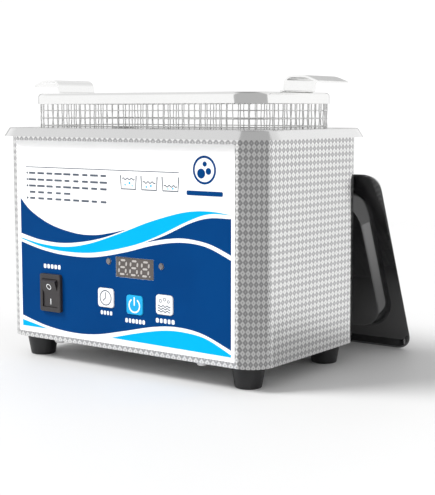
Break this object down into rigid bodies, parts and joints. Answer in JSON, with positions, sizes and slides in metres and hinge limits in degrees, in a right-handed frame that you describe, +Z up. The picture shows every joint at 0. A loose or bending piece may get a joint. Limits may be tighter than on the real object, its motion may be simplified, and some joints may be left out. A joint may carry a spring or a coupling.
{
  "type": "ultrasonic cleaner",
  "caption": "Benchtop ultrasonic cleaner for jewellery: stainless tank in a textured sheet housing, lift-out wire basket, loose lid, rocker switch, three keys and a digital timer.",
  "frame": {"origin": "on the table, under the middle of the housing, in the plane of the feet", "axes": "+X to the right seen from the front, +Y to the back, +Z up; the control panel faces -Y"},
  "size_m": [0.1964, 0.1549, 0.1572],
  "materials": {
    "housing_steel": "fine embossed diamond texture, satin",
    "base_steel": "plain sheet, satin",
    "tank_steel": "drawn stainless, bright polish",
    "basket_steel": "polished stainless strip",
    "basket_wire": "woven stainless wire",
    "screw_steel": "zinc-plated",
    "foot_rubber": "matt black",
    "gasket_silicone": "soft, grey",
    "front_film": "printed film, white with blue waves",
    "key_white": "white key",
    "key_blue": "light blue key",
    "switch_plastic": "black nylon",
    "display_window": "unlit three-digit display",
    "lamp_lens": "unlit diffused lamp",
    "lid_plastic": "gloss black moulding",
    "inlet_plastic": "black thermoplastic",
    "contact_metal": "nickel-plated brass",
    "ceramic": "fired ceramic with silvered faces",
    "transducer_aluminium": "turned",
    "transducer_steel": "turned steel",
    "electrode_copper": "copper foil",
    "board_green": "glass-fibre board with green mask",
    "ferrite": "dark ferrite and yellow tape",
    "capacitor_sleeve": "dark sleeve",
    "heat_sink_aluminium": "extruded",
    "transistor_black": "moulded epoxy",
    "fuse_glass": "glass tube in clips",
    "header_plastic": "ivory nylon",
    "lead_brown": "insulated lead",
    "lead_blue": "insulated lead",
    "lead_green": "insulated earth lead",
    "lead_red": "insulated lead",
    "ribbon_grey": "flat cable"
  },
  "bodies": {
    "machine": {"housing_shell": "housing_steel", "bottom_plate": "base_steel", "bottom_plate_screws": "screw_steel", "foot_screws": "screw_steel", "foot_front_left": "foot_rubber", "foot_front_right": "foot_rubber", "foot_rear_left": "foot_rubber", "foot_rear_right": "foot_rubber", "tank": "tank_steel", "tank_gasket": "gasket_silicone", "transducer_front_mass": "transducer_aluminium", "transducer_piezo_rings": "ceramic", "transducer_electrodes": "electrode_copper", "transducer_back_mass": "transducer_steel", "transducer_bolt": "screw_steel", "driver_board": "board_green", "driver_transformer": "ferrite", "driver_capacitors": "capacitor_sleeve", "driver_heat_sink": "heat_sink_aluminium", "driver_transistor": "transistor_black", "driver_fuse": "fuse_glass", "driver_connectors": "header_plastic", "board_standoffs": "contact_metal", "board_screws": "screw_steel", "display_board": "board_green", "display_standoffs": "contact_metal", "display_module": "display_window", "led_left": "lamp_lens", "led_right": "lamp_lens", "tact_switches": "switch_plastic", "front_overlay": "front_film", "switch_body": "switch_plastic", "switch_terminals": "contact_metal", "mains_inlet": "inlet_plastic", "inlet_pins": "contact_metal", "inlet_screws": "screw_steel", "inlet_nuts": "screw_steel", "ground_stud": "contact_metal", "wire_live": "lead_brown", "wire_switched": "lead_brown", "wire_neutral": "lead_blue", "wire_earth": "lead_green", "transducer_leads": "lead_red", "display_ribbon": "ribbon_grey"},
    "basket": {"basket_band": "basket_steel", "basket_mesh": "basket_wire", "basket_handle_left": "basket_steel", "basket_handle_right": "basket_steel"},
    "lid": {"lid_shell": "lid_plastic", "lid_handle": "lid_plastic", "lid_handle_screws": "screw_steel"},
    "rocker": {"switch_rocker": "switch_plastic"},
    "key_time": {"button_time": "key_white"},
    "key_on_off": {"button_on_off": "key_blue"},
    "key_degas": {"button_degas": "key_white"}
  },
  "joints": [
    {"name": "basket_lift", "type": "slide", "parent": "machine", "child": "basket", "axis": [0, 0, 1], "range_m": [-0.0257, 0.06]},
    {"name": "lid_lift", "type": "slide", "parent": "machine", "child": "lid", "axis": [0, 0.5, 0.866], "range_m": [0, 0.18]},
    {"name": "rocker_tilt", "type": "hinge", "parent": "machine", "child": "rocker", "pos_m": [-0.05085, -0.05, 0.03885], "axis": [1, 0, 0], "range_deg": [-20, 0]},
    {"name": "time_press", "type": "slide", "parent": "machine", "child": "key_time", "axis": [0, 1, 0], "range_m": [0, 0.0005], "stiffness_N_per_m": 300},
    {"name": "on_off_press", "type": "slide", "parent": "machine", "child": "key_on_off", "axis": [0, 1, 0], "range_m": [0, 0.0005], "stiffness_N_per_m": 300},
    {"name": "degas_press", "type": "slide", "parent": "machine", "child": "key_degas", "axis": [0, 1, 0], "range_m": [0, 0.0005], "stiffness_N_per_m": 300}
  ]
}
